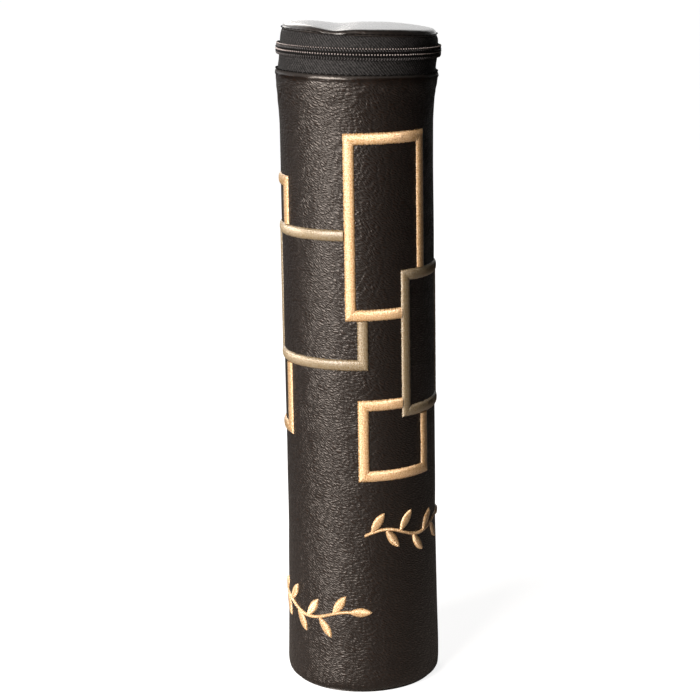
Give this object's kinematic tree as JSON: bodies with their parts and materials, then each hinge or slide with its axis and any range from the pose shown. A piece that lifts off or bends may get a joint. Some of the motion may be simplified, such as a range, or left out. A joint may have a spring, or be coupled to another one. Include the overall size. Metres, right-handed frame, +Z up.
{
  "type": "megillah case",
  "caption": "Tall round scroll case: card tube in a leatherette sleeve with embroidered frames, and a padded lid on a back tab that a coil zip closes round the rim.",
  "frame": {"origin": "centre of the base's underside, on the surface the case stands on", "axes": "+Z up along the case's axis, -Y towards the embroidered front, +Y towards the lid's hinge"},
  "size_m": [0.0812, 0.0825, 0.3348],
  "materials": {
    "leatherette": "satin grained leatherette, dark brown-black",
    "card": "matte board",
    "lining": "matte lining cloth",
    "foam": "matte foam",
    "zip_tape": "matte woven tape",
    "zip_coil": "satin nylon",
    "slider_metal": "satin nickel plate",
    "gold_thread": "satin embroidery thread",
    "champagne_thread": "satin embroidery thread"
  },
  "bodies": {
    "case": {"body_cover": "leatherette", "body_tube": "card", "body_lining": "lining", "base_board": "card", "base_lining": "lining", "base_cover": "leatherette", "body_tape": "zip_tape", "body_coil": "zip_coil", "hinge_tab": "leatherette", "hinge_lining": "lining", "tall_gold_frame": "gold_thread", "small_gold_frame": "gold_thread", "right_champagne_frame": "champagne_thread", "left_champagne_frame": "champagne_thread", "left_gold_frame": "gold_thread", "upper_leaf_sprig": "gold_thread", "lower_leaf_sprig": "gold_thread"},
    "lid": {"lid_cover": "leatherette", "lid_padding": "foam", "lid_board": "card", "lid_lining": "lining", "lid_tape": "zip_tape", "lid_tape_end_left": "zip_tape", "lid_tape_end_right": "zip_tape", "lid_coil": "zip_coil"},
    "slider": {"slider_body": "slider_metal", "slider_crown": "slider_metal"},
    "pull": {"pull_tab": "slider_metal"}
  },
  "joints": [
    {"name": "lid_hinge", "type": "hinge", "parent": "case", "child": "lid", "pos_m": [0, 0.04045, 0.3225], "axis": [-1, 0, 0], "range_deg": [0, 175], "deforming": ["hinge_tab", "hinge_lining", "lid_tape_end_left", "lid_tape_end_right"]},
    {"name": "slider_travel", "type": "hinge", "parent": "case", "child": "slider", "pos_m": [0, 0, 0.3225], "axis": [0, 0, -1], "range_deg": [0, 285], "deforming": ["body_coil", "lid_coil"]},
    {"name": "pull_swing", "type": "hinge", "parent": "slider", "child": "pull", "pos_m": [0.02691, 0.03557, 0.3225], "axis": [0.7975, -0.6034, 0], "range_deg": [0, 170]}
  ]
}
